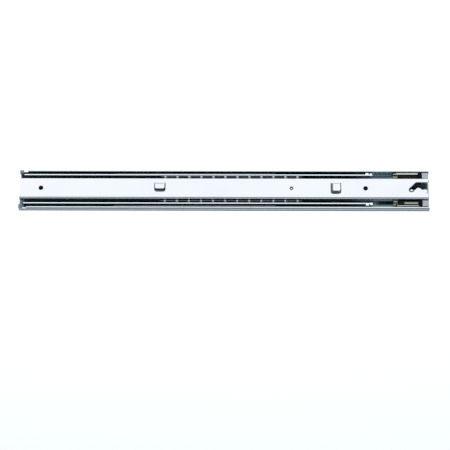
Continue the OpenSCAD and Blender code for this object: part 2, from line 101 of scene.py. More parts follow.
# Rail slots: 1 oil tint with painted shade in the channels, 2 painted shade on hook sides, slot walls,
# ends and lugs, 3 sheared plating.
OIL_AND_SHADE, LANCED_SHADE, SHEARED = 1, 2, 3
ROLLING = (22.0, 2600.0, 2600.0)  # rolling lines per metre, along the slide and across it
RELIEF = 0.0015 * MM              # depth of the rolling lines and handling marks
GRAIN = 0.02 * MM                 # depth of the grain of moulded pieces

# Middle of the leaf, from the rear, the drawer side and the top of the upper pad.
LEAF_PLACE = Vector((7.7 * MM, -0.05 * MM, -1.65 * MM))

# Name, place from the middle of the slide, width, power in watts, and whether metal shows it.
LAMPS = (
    ("top_softbox", (0.0, 0.5, 2.4), 3.6, 22.0, True),
    ("left_softbox", (2.3, -0.7, 1.3), 1.6, 24.0, False),
    ("right_softbox", (-2.3, -0.7, 1.3), 1.6, 24.0, False),
)


# --- Properties ----------------------------------------------------------------------------------


def length(name, description, default):
    """A length in metres."""
    return FloatProperty(
        name=name, description=description, default=default, min=0.0, precision=5,
        subtype="DISTANCE", unit="LENGTH",
    )


def angle(name, description, degrees):
    """An angle, given in degrees."""
    return FloatProperty(
        name=name, description=description, default=math.radians(degrees),
        subtype="ANGLE", unit="ROTATION",
    )


def colour(name, description, default):
    """A linear colour."""
    return FloatVectorProperty(
        name=name, description=description, default=default, size=3, min=0.0, max=1.0,
        subtype="COLOR",
    )


class SlideSizes(bpy.types.PropertyGroup):
    """Sizes that the finishing steps use."""

    sheet_edge: length("Sheet edge", "Rounding of the cut edges of the rails", 0.1 * MM)
    rollover: length("Rollover", "Rounding that the press leaves on a cut's outer face", 0.32 * MM)
    end_rollover: length("End rollover", "Rounding of the inner rail's sheared ends", 1.0 * MM)
    hook_slope: length("Hook slope", "Lean of the front side of the rear drawer hook", 1.7 * MM)
    cage_edge: length("Cage edge", "Rounding of the cut edges of the ball cages", 0.06 * MM)
    clip_edge: length("Clip edge", "Rounding of the rear clip's steel", 0.2 * MM)
    leaf_edge: length("Leaf edge", "Rounding of the leaf on the upper pad", 0.12 * MM)
    leaf_length: length("Leaf length", "Length of the leaf on the upper pad", 14.8 * MM)
    leaf_width: length("Leaf width", "Width of the leaf on the upper pad", 2.3 * MM)
    leaf_sheet: length("Leaf sheet", "Thickness of the leaf on the upper pad", 0.3 * MM)
    moulded_edge: length("Moulded edge", "Rounding of the rubber and plastic pieces", 0.35 * MM)
    ball_pitch: length("Ball pitch", "Distance from ball to ball in a row", 13.2 * MM)
    ball_detail: IntProperty(
        name="Ball detail", description="Subdivisions of each ball", default=3, min=2, max=4
    )


class SlideColours(bpy.types.PropertyGroup):
    """Colours of the finishes."""

    zinc: colour("Zinc", "Bright zinc plating", (0.86, 0.85, 0.90))
    lip_zinc: colour("Lip zinc", "Bright plating on the intermediate member", (0.93, 0.98, 0.99))
    sheared: colour("Sheared zinc", "Thin plating on the sheared lips", (0.85, 0.90, 0.92))
    # Lanced edge: painted shade on hook sides, slot walls, sheared ends and lugs, dark enough to stand
    # for the shadow in those slits and gaps.
    lanced_shade: colour("Lanced edge", "Torn steel on the edges of hooks and ends", (0.22, 0.25, 0.27))
    # Oiled zinc: an oil tint with painted shade, darker than the plating to stand for the shade deep
    # in the channels.
    oil_and_shade: colour("Oiled zinc", "Plating under the oil in the channels", (0.18, 0.28, 0.30))
    # Web film: lighter painted shade on the middle of the webs' inner faces, so that holes and hook
    # mouths show dark.
    web_film_and_shade: colour("Web film", "Plating under the webs' thin inner film", (0.36, 0.41, 0.43))
    # Wiped zinc: lighter painted shade on the races behind the middle rail, where it no longer covers
    # the channel.
    rear_channel_shade: colour("Wiped zinc", "Plating behind the intermediate member", (0.40, 0.50, 0.53))
    # Deep oil: near-black painted shade with an oil tint, in the middle rail's channel.
    deep_oil_and_shade: colour("Deep oil", "Plating under the oil of the inner channel", (0.08, 0.14, 0.15))
    cage: colour("Cage", "Oiled steel of the ball cages", (0.22, 0.25, 0.27))
    ball: colour("Ball", "Polished bearing steel", (0.95, 0.96, 0.97))
    row_ball: colour("Greased ball", "Bearing steel under the rows' grease", (0.55, 0.57, 0.58))
    bracket: colour("Bracket", "Plated steel of the rear bracket", (0.41, 0.43, 0.45))
    interlock: colour("Interlock lever", "Dull steel of the interlock lever", (0.80, 0.84, 0.83))
    # Grease: near-black painted shadow in the gap round the pin, in the tips' slits and on the upper
    # arm.
    grease: colour("Grease", "Dark grease round the pin and in the tips", (0.012, 0.014, 0.008))
    # Arm: a bright painted highlight on the lower arm and on the bracket's walls.
    arm: colour("Arm", "Spring steel of the rear arms", (0.95, 0.97, 0.95))
    leaf: colour("Leaf", "Dull steel leaf on the upper pad", (0.33, 0.365, 0.345))
    pad: colour("Pad", "Greased black plastic of the arm pads", (0.007, 0.008, 0.004))
    pad_smear: colour("Pad smear", "Smears of grease on the arm pads", (0.03, 0.032, 0.015))
    nylon: colour("Nylon", "Greased nylon of the arm tips", (0.55, 0.58, 0.45))
    nylon_smear: colour("Nylon smear", "Smears of grease on the arm tips", (0.25, 0.26, 0.16))
    rubber: colour("Rubber", "Black rubber of the buffers", (0.004, 0.0045, 0.0045))
    lever: colour("Lever", "Dark plastic of the disconnect lever", (0.07, 0.075, 0.08))
    eyelet: colour("Eyelet", "Brass of the lever's eyelet", (0.20, 0.175, 0.13))


class SlideStage(bpy.types.PropertyGroup):
    """Camera, floor and room."""

    azimuth: angle("Azimuth", "Direction of view, from straight at the drawer side", 1.694)
    elevation: angle("Elevation", "Height of the camera above the horizon", 24.02)
    roll: angle("Roll", "Roll of the camera about its own line of sight", 180.82)
    distance: length("Distance", "Distance from the camera to its target", 2.1759)
    target: FloatVectorProperty(
        name="Target", description="Point that the camera looks at",
        default=(-0.22007, -0.006, 0.04133), size=3, subtype="XYZ", unit="LENGTH",
    )
    lens: FloatProperty(name="Lens", description="Focal length in millimetres", default=159.64)
    floor_drop: length("Floor drop", "Height of the slide above the floor", 0.32)
    floor_size: length("Floor size", "Width of the floor", 14.0)
    floor_lift: FloatProperty(
        name="Floor lift", description="Extra light with which the floor shows white", default=0.55
    )
    floor: colour("Floor", "Pale matt floor", (0.86, 0.865, 0.87))
    floor_cloud: colour("Floor cloud", "Lighter patches of the floor", (0.88, 0.885, 0.89))
    room: colour("Room", "Dim light of the room round the slide", (0.20, 0.255, 0.29))


# --- Meshes --------------------------------------------------------------------------------------


def new_piece(bm, name, body, node, materials):
    """Turns a finished bmesh into a piece that rides on its body and stands for its CAD node."""
    mesh = bpy.data.meshes.new(name)
    bm.to_mesh(mesh)
    bm.free()
    for material in materials:
        mesh.materials.append(material)
    mesh.shade_smooth()
    piece = bpy.data.objects.new(name, mesh)
    bpy.context.scene.collection.objects.link(piece)
    piece.modifiers.new("Weighted normals", "WEIGHTED_NORMAL").keep_sharp = True
    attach(piece, body)
    if node:
        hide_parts(node)


def merged_copy(node):
    """A bmesh of a CAD node with its loose triangles merged into whole faces."""
    bm = bmesh.new()
    bm.from_mesh(frame["nodes"][node].data)
    bmesh.ops.remove_doubles(bm, verts=bm.verts, dist=MERGE)
    bmesh.ops.dissolve_limit(bm, angle_limit=FLAT, verts=bm.verts, edges=bm.edges)
    return bm


def round_edges(bm, size, segments=2, keep=None):
    """Rounds the sharp edges, or those of them that keep picks."""
    sharp = [
        e for e in bm.edges
        if len(e.link_faces) == 2 and e.calc_face_angle() > SHARP and (keep is None or keep(e))
    ]
    bmesh.ops.bevel(
        bm, geom=sharp, offset=size, offset_type="OFFSET", segments=segments, profile=0.5,
        affect="EDGES", clamp_overlap=False, material=-1,
    )


def rounded_copy(node, size, segments=2):
    """A merged copy of a CAD node with its sharp edges rounded."""
    bm = merged_copy(node)
    round_edges(bm, size, segments=segments)
    return bm


def paint_faces(bm, index, test):
    """Gives a material index to the faces whose centre and normal pass a test."""
    for face in bm.faces:
        if test(face.calc_center_median(), face.normal):
            face.material_index = index


def lies_at(edge, axis, value):
    """Whether both ends of an edge are at a value on an axis."""
    return all(abs(v.co[axis] - value) < TOUCH for v in edge.verts)


def round_node(node):
    """The centre in X and Z, the radius, and the two ends in Y of a round CAD node."""
    low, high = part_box(node)
    return ((low.x + high.x) / 2, (low.z + high.z) / 2), (high.x - low.x) / 2, low.y, high.y


def lathe(profile, centre):
    """A solid of revolution about Y: profile is a list of (radius, y)."""
    bm = bmesh.new()
    line = [bm.verts.new((centre[0] + r, y, centre[1])) for r, y in profile]
    rim = [bm.edges.new(pair) for pair in zip(line, line[1:])]
    bmesh.ops.spin(
        bm, geom=line + rim, cent=(centre[0], 0.0, centre[1]), axis=(0.0, 1.0, 0.0),
        angle=2 * math.pi, steps=TURN_STEPS, use_merge=True,
    )
    bmesh.ops.remove_doubles(bm, verts=bm.verts, dist=MERGE)
    bmesh.ops.recalc_face_normals(bm, faces=bm.faces)
    return bm


# --- Materials -----------------------------------------------------------------------------------


class Finish:
    """A material under construction, with short ways to add and join its nodes."""

    def __init__(self, name):
        self.material = bpy.data.materials.new(name)
        self.material.use_nodes = True
        self.tree = self.material.node_tree
        self.shader = self.tree.nodes["Principled BSDF"]
        self.place = self.add("ShaderNodeTexCoord").outputs["Object"]

    def add(self, kind, **inputs):
        """A node with its unlinked inputs set."""
        node = self.tree.nodes.new(kind)
        for key, value in inputs.items():
            node.inputs[key].default_value = value
        return node

    def join(self, output, target):
        """A link from a socket to another."""
        self.tree.links.new(output, target)

    def wear(self, **outputs):
        """Links sockets to the shader's inputs; an underscore stands for a space."""
        for key, output in outputs.items():
            self.join(output, self.shader.inputs[key.replace("_", " ")])

    def noise(self, scale, stretch=(1.0, 1.0, 1.0), detail=4.0, roughness=0.55):
        """Noise over the piece in its own coordinates; scale is in features per metre."""
        mapping = self.add("ShaderNodeMapping", Scale=[scale * s for s in stretch])
        self.join(self.place, mapping.inputs["Vector"])
        noise = self.add("ShaderNodeTexNoise", Scale=1.0, Detail=detail, Roughness=roughness)
        self.join(mapping.outputs["Vector"], noise.inputs["Vector"])
        return noise.outputs["Fac"]

    def maths(self, operation, *values):
        """The result of a Math node."""
        node = self.tree.nodes.new("ShaderNodeMath")
        node.operation = operation
        for value, socket in zip(values, node.inputs):
            self.join(value, socket)
        return node.outputs[0]

    def along(self, axis):
        """The place along one axis of the piece's own coordinates."""
        split = self.add("ShaderNodeSeparateXYZ")
        self.join(self.place, split.inputs[0])
        return split.outputs[axis]

    def away_from(self, centre):
        """The distance from a point."""
        mapping = self.add("ShaderNodeMapping", Location=[-c for c in centre])
        self.join(self.place, mapping.inputs["Vector"])
        span = self.tree.nodes.new("ShaderNodeVectorMath")
        span.operation = "LENGTH"
        self.join(mapping.outputs["Vector"], span.inputs[0])
        return span.outputs["Value"]

    def between(self, factor, low, high, start=0.3, end=0.7):
        """A value that runs from low to high while the factor runs from start to end."""
        ramp = self.add("ShaderNodeMapRange")
        for key, value in zip(("From Min", "From Max", "To Min", "To Max"), (start, end, low, high)):
            ramp.inputs[key].default_value = value
        self.join(factor, ramp.inputs["Value"])
        return ramp.outputs["Result"]

    def mix(self, factor, first, second):
        """A colour between two, each a colour or a socket."""
        node = self.tree.nodes.new("ShaderNodeMix")
        node.data_type = "RGBA"
        self.join(factor, node.inputs["Factor"])
        for key, value in (("A", first), ("B", second)):
            socket = next(s for s in node.inputs if s.name == key and s.type == "RGBA")
            if isinstance(value, bpy.types.NodeSocket):
                self.join(value, socket)
            else:
                socket.default_value = (*value, 1.0)
        return next(s for s in node.outputs if s.type == "RGBA")

    def bump(self, height, depth, before=None):
        """A bump of a depth in metres, on top of the one before it."""
        node = self.add("ShaderNodeBump", Strength=1.0, Distance=depth)
        self.join(height, node.inputs["Height"])
        if before is not None:
            self.join(before, node.inputs["Normal"])
        return node.outputs["Normal"]


def shade(base, factor):
    """A colour made lighter or darker, kept within range."""
    return tuple(min(1.0, max(0.0, c * factor)) for c in base)


def plated_steel(name, base, roughness=(0.13, 0.22), stain=0.93, metallic=1.0, cover=None):
    """Rolled sheet with bright plating: fine lines along the slide, faint clouds and marks.

    cover takes the finish and its tone and gives the tone with what lies on the plating.
    """
    f = Finish(name)
    f.shader.inputs["Metallic"].default_value = metallic
    lines = f.noise(1.0, stretch=ROLLING, detail=3.0)
    clouds = f.noise(38.0, detail=5.0)
    marks = f.noise(420.0, detail=6.0, roughness=0.7)
    tone = f.mix(f.between(clouds, 0.0, 1.0), shade(base, stain), base)
    tone = f.mix(f.between(lines, 0.0, 0.35), tone, shade(base, 0.9))
    tone = f.mix(f.between(marks, 0.0, 0.25, 0.55, 0.8), tone, shade(base, 0.72))
    if cover:
        tone = cover(f, tone)
    relief = f.bump(marks, RELIEF, before=f.bump(lines, RELIEF))
    f.wear(Base_Color=tone, Roughness=f.between(clouds, *roughness), Normal=relief)
    return f.material


def oil_and_shade_cover(web_middle_tone, rear_channel_shade):
    """Oil tint and painted shade along the races, lighter painted shade on the middle of the webs, and
    lighter painted shade on the races at the slide's rear, behind the middle rail.
    """
    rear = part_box("middle_rail")[0].x
    rear_fade = 30.0 * MM
    web = 0.65 * INNER_HIGH.z
    web_fade = 4.0 * MM

    def cover(f, tone):
        behind = f.between(f.along("X"), 1.0, 0.0, rear, rear + rear_fade)
        middle = f.between(f.maths("ABSOLUTE", f.along("Z")), 1.0, 0.0, web, web + web_fade)
        # Painted shade: lighter on the webs' middle, and lighter behind the middle rail.
        return f.mix(middle, f.mix(behind, tone, rear_channel_shade), web_middle_tone)

    return cover


def shadow_round_pin(centre, grease):
    """A cover of painted shadow round a pin, a near-black ring on the piece under it."""
    full, none = 2.6 * MM, 3.4 * MM

    def cover(f, tone):
        return f.mix(f.between(f.away_from(centre), 1.0, 0.0, full, none), tone, grease)

    return cover


def polished_steel(name, base):
    """Ground and polished bearing steel with a thin smear of grease."""
    f = Finish(name)
    f.shader.inputs["Metallic"].default_value = 1.0
    smear = f.noise(700.0, detail=3.0)
    tone = f.mix(f.between(smear, 0.0, 1.0, 0.45, 0.75), base, shade(base, 0.8))
    f.wear(Base_Color=tone, Roughness=f.between(smear, 0.08, 0.2))
    return f.material


def moulded(name, base, roughness=(0.4, 0.6), smear=None, shine=0.5):
    """Moulded plastic or rubber with a fine grain and smears of grease."""
    f = Finish(name)
    f.shader.inputs["IOR"].default_value = 1.5
    f.shader.inputs["Specular IOR Level"].default_value = shine
    grains = f.noise(3500.0, detail=2.0)
    smears = f.noise(260.0, stretch=(0.35, 1.0, 1.0), detail=5.0)
    tone = f.mix(f.between(smears, 0.0, 1.0, 0.45, 0.7), base, smear or shade(base, 1.6))
    tone = f.mix(f.between(grains, 0.0, 0.3), tone, shade(base, 0.7))
    rough = f.between(smears, roughness[1], roughness[0])
    f.wear(Base_Color=tone, Roughness=rough, Normal=f.bump(grains, GRAIN))
    return f.material


def clip_shadow(name, colours):
    """Near-black painted shadow in the rear clip, as a moulded finish."""
    return moulded(name, colours.grease, roughness=(0.2, 0.35), shine=0.15)


# --- Rails ---------------------------------------------------------------------------------------


def rail(scene, node, body, base, film, channel, cuts=(), end_face=None, form=None,
         lanced_shade=None, sheared=None):
    """A rail with rounded cut edges, plated outside and with an oil tint and painted shade inside its
    channel.

    cuts are the places in Y of the faces whose edges the press rounds over, end_face is that of
    the face whose ends it rounds over more, and form shapes the mesh first. channel picks the faces
    of the oil tint and painted shade, lanced those of the painted shade on hook sides, slot walls,
    ends and lugs, and sheared those of the sheared plating.
    """
    sizes, colours = scene.slide_sizes, scene.slide_colours
    low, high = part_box(node)
    bm = merged_copy(node)
    if form:
        form(bm)
    if end_face is not None:
        round_edges(
            bm, sizes.end_rollover, segments=4,
            keep=lambda e: lies_at(e, Y, end_face) and (lies_at(e, X, low.x) or lies_at(e, X, high.x)),
        )
    if cuts:
        round_edges(
            bm, sizes.rollover, segments=3, keep=lambda e: any(lies_at(e, Y, y) for y in cuts)
        )
    round_edges(bm, sizes.sheet_edge)
    name = f"{node}_steel"
    finishes = [
        plated_steel(f"{name}_zinc", base),
        plated_steel(f"{name}_oiled", film, roughness=(0.2, 0.32), stain=0.8,
                     cover=oil_and_shade_cover(colours.web_film_and_shade, colours.rear_channel_shade)),
        # Slot 2: painted shade for hook sides, slot walls, ends and lugs.
        plated_steel(f"{name}_lanced", colours.lanced_shade, roughness=(0.3, 0.45), stain=0.8),
        plated_steel(f"{name}_sheared", colours.sheared, roughness=(0.25, 0.4), stain=0.85),
    ]
    # Faces inside the channel get the oil tint with painted shade.
    paint_faces(bm, OIL_AND_SHADE, lambda c, n: abs(n.x) < 0.7 and channel(c))
    paint_faces(bm, SHEARED, lambda c, n: abs(n.x) > 0.9 and min(c.x - low.x, high.x - c.x) < SHEET)
    if lanced_shade:
        paint_faces(bm, LANCED_SHADE, lanced_shade)
    if sheared:
        paint_faces(bm, SHEARED, sheared)
    new_piece(bm, name, body, node, finishes)


class SLIDE_OT_outer_rail(bpy.types.Operator):
    """Finish the cabinet member"""

    bl_idname = "drawer_slide.outer_rail"
    bl_label = "Outer Rail"
    bl_options = {"REGISTER", "UNDO"}

    def execute(self, context):
        colours = context.scene.slide_colours
        top = OUTER_HIGH.z - GROOVE - PAST_MIDDLE
        lip = OUTER_LOW.y + LIP_END
        lugs = OUTER_HIGH.x - LUG_LENGTH
        hook_foot = 0.1 * HOOK_PROUD

        def channel(c):
            return abs(c.z) < top and OUTER_LOW.y + GROOVE < c.y < -PAST_MIDDLE

        # Painted shade on the front lugs and on the hooks' sides.
        def lanced_shade(c, n):
            return (c.y < lip and c.x > lugs) or (c.y > hook_foot and abs(n.y) < 0.9)

        def sheared(c, n):
            return c.y < lip and c.x < lugs

        rail(context.scene, "outer_rail", "cabinet_member", colours.zinc, colours.oil_and_shade,
             channel, cuts=(0.0, HOOK_PROUD), lanced_shade=lanced_shade, sheared=sheared)
        return {"FINISHED"}


class SLIDE_OT_middle_rail(bpy.types.Operator):
    """Finish the intermediate member"""

    bl_idname = "drawer_slide.middle_rail"
    bl_label = "Middle Rail"
    bl_options = {"REGISTER", "UNDO"}

    def execute(self, context):
        colours = context.scene.slide_colours
        low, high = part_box("middle_rail")
        # The middle rail's channel gets near-black painted shade with an oil tint.
        rail(context.scene, "middle_rail", "middle_member", colours.lip_zinc, colours.deep_oil_and_shade,
             lambda c: low.y + GROOVE < c.y < high.y - PAST_MIDDLE)
        return {"FINISHED"}


class SLIDE_OT_inner_rail(bpy.types.Operator):
    """Finish the drawer member"""

    bl_idname = "drawer_slide.inner_rail"
    bl_label = "Inner Rail"
    bl_options = {"REGISTER", "UNDO"}

    def execute(self, context):
        sizes, colours = context.scene.slide_sizes, context.scene.slide_colours
        side = INNER_HIGH.z - PAST_MIDDLE
        hook_foot = INNER_LOW.y + 0.9 * HOOK_PROUD
        reach = sizes.end_rollover
        centre, radius, _, _ = round_node("follower_pin")
        pin = Vector((centre[0], WEB_FACE, centre[1]))
        slot_end = 2 * radius + SLOT_RIM

        def channel(c):
            return c.y > WEB_FACE + PAST_MIDDLE and abs(c.z) < side

        # Painted shade on the hooks' sides and slope, on the cam slot's walls round the pin, and on
        # the ends.
        def lanced_shade(c, n):
            hook = c.y < hook_foot and (abs(n.x) > 0.35 or n.z < -0.25)
            slot = abs(n.y) < 0.98 and (c - pin).length < slot_end
            at_end = c.x > INNER_HIGH.x - reach or c.x < INNER_LOW.x + reach
            return hook or slot or (abs(n.x) > 0.2 and at_end)

        rail(context.scene, "inner_rail", "drawer_member", colours.zinc, colours.oil_and_shade,
             channel, cuts=(INNER_LOW.y, WEB_FACE), end_face=WEB_FACE,
             form=lambda bm: self.lean_hook(bm, sizes.hook_slope), lanced_shade=lanced_shade)
        return {"FINISHED"}

    def lean_hook(self, bm, slope):
        """Leans the front side of the rear hook back, as the press forms it."""
        mounts = frame["record"]["mounts"]
        hook = next(m["pos_m"][X] for m in mounts if m["name"] == "drawer_hook_rear")
        top = [
            v for v in bm.verts
            if abs(v.co.y - INNER_LOW.y) < TOUCH and abs(v.co.x - hook) < HOOK_REACH
        ]
        rear = min(v.co.x for v in top)
        width = max(v.co.x for v in top) - rear
        bmesh.ops.scale(
            bm, vec=(1.0 - slope / width, 1.0, 1.0),
            space=Matrix.Translation((-rear, 0.0, 0.0)), verts=top,
        )


# --- Balls and cages -----------------------------------------------------------------------------


class SLIDE_OT_ball_rows(bpy.types.Operator):
    """Make the four rows of balls"""

    bl_idname = "drawer_slide.ball_rows"
    bl_label = "Ball Rows"
    bl_options = {"REGISTER", "UNDO"}

    def execute(self, context):
        sizes = context.scene.slide_sizes
        steel = polished_steel("bearing_steel", context.scene.slide_colours.row_ball)
        for cage in ("outer", "inner"):
            for side in SIDES:
                node = f"{cage}_balls_{side}"
                low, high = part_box(node)
                middle = (low + high) / 2
                radius = (high.y - low.y) / 2
                first = low.x + radius
                count = round((high.x - radius - first) / sizes.ball_pitch) + 1
                bm = bmesh.new()
                for k in range(count):
                    at = (first + k * sizes.ball_pitch, middle.y, middle.z)
                    bmesh.ops.create_icosphere(
                        bm, subdivisions=sizes.ball_detail, radius=radius,
                        matrix=Matrix.Translation(at),
                    )
                new_piece(bm, f"{cage}_ball_row_{side}", f"{cage}_ball_cage",
                          node, [steel])
        return {"FINISHED"}


class SLIDE_OT_ball_cages(bpy.types.Operator):
    """Finish the two ball cages"""

    bl_idname = "drawer_slide.ball_cages"
    bl_label = "Ball Cages"
    bl_options = {"REGISTER", "UNDO"}

    def execute(self, context):
        sizes, colours = context.scene.slide_sizes, context.scene.slide_colours
        steel = plated_steel("cage_steel_oiled", colours.cage, roughness=(0.25, 0.4), stain=0.7)
        for cage in ("outer", "inner"):
            bm = rounded_copy(f"{cage}_cage", sizes.cage_edge, segments=1)
            new_piece(bm, f"{cage}_cage_strip", f"{cage}_ball_cage",
                      f"{cage}_cage", [steel])
        return {"FINISHED"}


# --- Rear clip -----------------------------------------------------------------------------------


def clip_pair(node, name, edge, material):
    """Finishes the upper and the lower piece of a kind in the rear clip."""
    for side in SIDES:
        bm = rounded_copy(f"{node}_{side}", edge)
        new_piece(bm, f"{name}_{side}", "cabinet_member", f"{node}_{side}", [material])


class SLIDE_OT_rear_bracket(bpy.types.Operator):
    """Finish the rear bracket"""

    bl_idname = "drawer_slide.rear_bracket"
    bl_label = "Rear Bracket"
    bl_options = {"REGISTER", "UNDO"}

    def execute(self, context):
        sizes, colours = context.scene.slide_sizes, context.scene.slide_colours
        steel = plated_steel("bracket_plating", colours.bracket, stain=0.85)
        # The walls in front of the ears get a bright painted highlight; the rest keeps the duller
        # plating.
        bright = plated_steel("bracket_edge_highlight", colours.arm)
        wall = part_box("rear_bracket")[1].z - SHEET - SKIN
        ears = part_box("rear_buffer_upper")[1].x
        bm = rounded_copy("rear_bracket", sizes.clip_edge)
        paint_faces(bm, 1, lambda c, n: abs(c.z) > wall and c.x > ears)
        new_piece(bm, "rear_bracket_steel", "cabinet_member", "rear_bracket",
                  [steel, bright])
        return {"FINISHED"}


class SLIDE_OT_spring_arms(bpy.types.Operator):
    """Finish the two spring arms: the upper one in near-black painted shadow, the lower one in a
    bright painted highlight
    """

    bl_idname = "drawer_slide.spring_arms"
    bl_label = "Spring Arms"
    bl_options = {"REGISTER", "UNDO"}

    def execute(self, context):
        sizes, colours = context.scene.slide_sizes, context.scene.slide_colours
        # The upper arm is painted near-black as shadow, the lower one bright as a highlight.
        finishes = {
            "upper": clip_shadow("arm_shadow", colours),
            "lower": plated_steel("spring_steel_highlight", colours.arm),
        }
        for side in SIDES:
            bm = rounded_copy(f"spring_arm_{side}", sizes.clip_edge)
            new_piece(bm, f"spring_arm_steel_{side}", "cabinet_member",
                      f"spring_arm_{side}", [finishes[side]])
        return {"FINISHED"}


class SLIDE_OT_arm_pads(bpy.types.Operator):
    """Finish the two arm pads"""

    bl_idname = "drawer_slide.arm_pads"
    bl_label = "Arm Pads"
    bl_options = {"REGISTER", "UNDO"}

    def execute(self, context):
        sizes, colours = context.scene.slide_sizes, context.scene.slide_colours
        plastic = moulded("greased_pad", colours.pad, smear=colours.pad_smear, shine=0.12)
        clip_pair("arm_pad", "arm_pad_moulding", sizes.moulded_edge, plastic)
        return {"FINISHED"}


class SLIDE_OT_arm_tips(bpy.types.Operator):
    """Finish the two arm tips, with near-black painted shade in their slits"""

    bl_idname = "drawer_slide.arm_tips"
    bl_label = "Arm Tips"
    bl_options = {"REGISTER", "UNDO"}

    def execute(self, context):
        sizes, colours = context.scene.slide_sizes, context.scene.slide_colours
        nylon = moulded("greased_nylon", colours.nylon, smear=colours.nylon_smear)
        grease = clip_shadow("clip_shadow", colours)
        for side in SIDES:
            low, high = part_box(f"arm_tip_{side}")
            middle = (low.z + high.z) / 2
            bm = rounded_copy(f"arm_tip_{side}", sizes.clip_edge)
            # Faces in each tip's slit get near-black painted shade.
            paint_faces(bm, 1, lambda c, n: abs(c.z - middle) < SLIT and abs(n.y) < 0.95)
            new_piece(bm, f"arm_tip_moulding_{side}", "cabinet_member",
                      f"arm_tip_{side}", [nylon, grease])
        return {"FINISHED"}


class SLIDE_OT_rear_buffers(bpy.types.Operator):
    """Finish the two rubber buffers"""

    bl_idname = "drawer_slide.rear_buffers"
    bl_label = "Rear Buffers"
    bl_options = {"REGISTER", "UNDO"}

    def execute(self, context):
        sizes, colours = context.scene.slide_sizes, context.scene.slide_colours
        rubber = moulded("buffer_rubber", colours.rubber, roughness=(0.5, 0.7), shine=0.1)
        clip_pair("rear_buffer", "rear_buffer_moulding", sizes.moulded_edge, rubber)
        return {"FINISHED"}


class SLIDE_OT_arm_leaf(bpy.types.Operator):
    """Make the thin steel leaf that lies on the upper pad"""

    bl_idname = "drawer_slide.arm_leaf"
    bl_label = "Arm Leaf"
    bl_options = {"REGISTER", "UNDO"}

    def execute(self, context):
        sizes, colours = context.scene.slide_sizes, context.scene.slide_colours
        low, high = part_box("arm_pad_upper")
        size = (sizes.leaf_length, sizes.leaf_sheet, sizes.leaf_width)
        place = Vector((low.x, low.y, high.z)) + LEAF_PLACE
        bm = bmesh.new()
        bmesh.ops.create_cube(bm, size=1.0)
        bmesh.ops.scale(bm, vec=size, verts=bm.verts)
        bmesh.ops.translate(bm, vec=place, verts=bm.verts)
        round_edges(bm, sizes.leaf_edge)
        steel = plated_steel("leaf_steel", colours.leaf, roughness=(0.25, 0.4), stain=0.8)
        new_piece(bm, "arm_leaf_upper", "cabinet_member", None, [steel])
        return {"FINISHED"}


# --- Rivets and pin ------------------------------------------------------------------------------


def bright_plating(name, colours):
    """Bright plating of turned and rolled pieces."""
    return plated_steel(name, colours.ball, roughness=(0.18, 0.3))


class SLIDE_OT_rear_rivet(bpy.types.Operator):
    """Turn the rear rivet with its rolled ring"""

    bl_idname = "drawer_slide.rear_rivet"
    bl_label = "Rear Rivet"
    bl_options = {"REGISTER", "UNDO"}

    def execute(self, context):
        centre, ring, head, tail = round_node("rear_rivet")
        shank, bore = 1.7 * MM, 1.25 * MM
        profile = [
            (0.0, -0.6 * MM),
            (bore - 0.3 * MM, -0.6 * MM),
            (bore, -0.35 * MM),
            (bore + 0.05 * MM, 0.25 * MM),
            (bore + 0.35 * MM, 0.58 * MM),
            (bore + 0.8 * MM, tail),
            (ring - 0.75 * MM, tail - 0.04 * MM),
            (ring - 0.25 * MM, 0.46 * MM),
            (ring, 0.16 * MM),
            (ring - 0.04 * MM, 0.0),
            (shank, 0.0),
            (shank, head + 0.8 * MM),
            (shank + 1.0 * MM, head + 0.75 * MM),
            (shank + 1.1 * MM, head + 0.5 * MM),
            (shank + 0.85 * MM, head + 0.08 * MM),
            (shank + 0.4 * MM, head),
            (0.0, head),
        ]
        bright = bright_plating("rivet_plating", context.scene.slide_colours)
        new_piece(lathe(profile, centre), "rear_rivet_steel", "cabinet_member",
                  "rear_rivet", [bright])
        return {"FINISHED"}


class SLIDE_OT_lever_eyelet(bpy.types.Operator):
    """Turn the brass eyelet of the disconnect lever"""

    bl_idname = "drawer_slide.lever_eyelet"
    bl_label = "Lever Eyelet"
    bl_options = {"REGISTER", "UNDO"}

    def execute(self, context):
        colours = context.scene.slide_colours
        centre, flange, crown, tail = round_node("lever_eyelet")
        shank, rim = 1.5 * MM, 2.15 * MM
        profile = [
            (0.0, WEB_FACE + 0.6 * MM),
            (0.8 * MM, WEB_FACE + 0.6 * MM),
            (1.0 * MM, WEB_FACE + 0.4 * MM),
            (1.05 * MM, WEB_FACE + 0.05 * MM),
            (1.25 * MM, WEB_FACE - 0.26 * MM),
            (1.6 * MM, crown),
            (1.95 * MM, WEB_FACE - 0.26 * MM),
            (rim, WEB_FACE - 0.06 * MM),
            (rim - 0.03 * MM, WEB_FACE),
            (shank, WEB_FACE),
            (shank, tail - 0.5 * MM),
            (flange - 0.1 * MM, tail - 0.5 * MM),
            (flange, tail - 0.35 * MM),
            (flange - 0.12 * MM, tail),
            (0.0, tail),
        ]
        brass = plated_steel("eyelet_brass_aged", colours.eyelet, roughness=(0.25, 0.4), stain=0.7)
        bright = bright_plating("eyelet_hollow_plating", colours)
        hollow = Vector((centre[0], WEB_FACE, centre[1]))
        bm = lathe(profile, centre)
        paint_faces(bm, 1, lambda c, n: (c - hollow).length < HOLLOW)
        new_piece(bm, "lever_eyelet_brass", "drawer_member", "lever_eyelet",
                  [brass, bright])
        return {"FINISHED"}


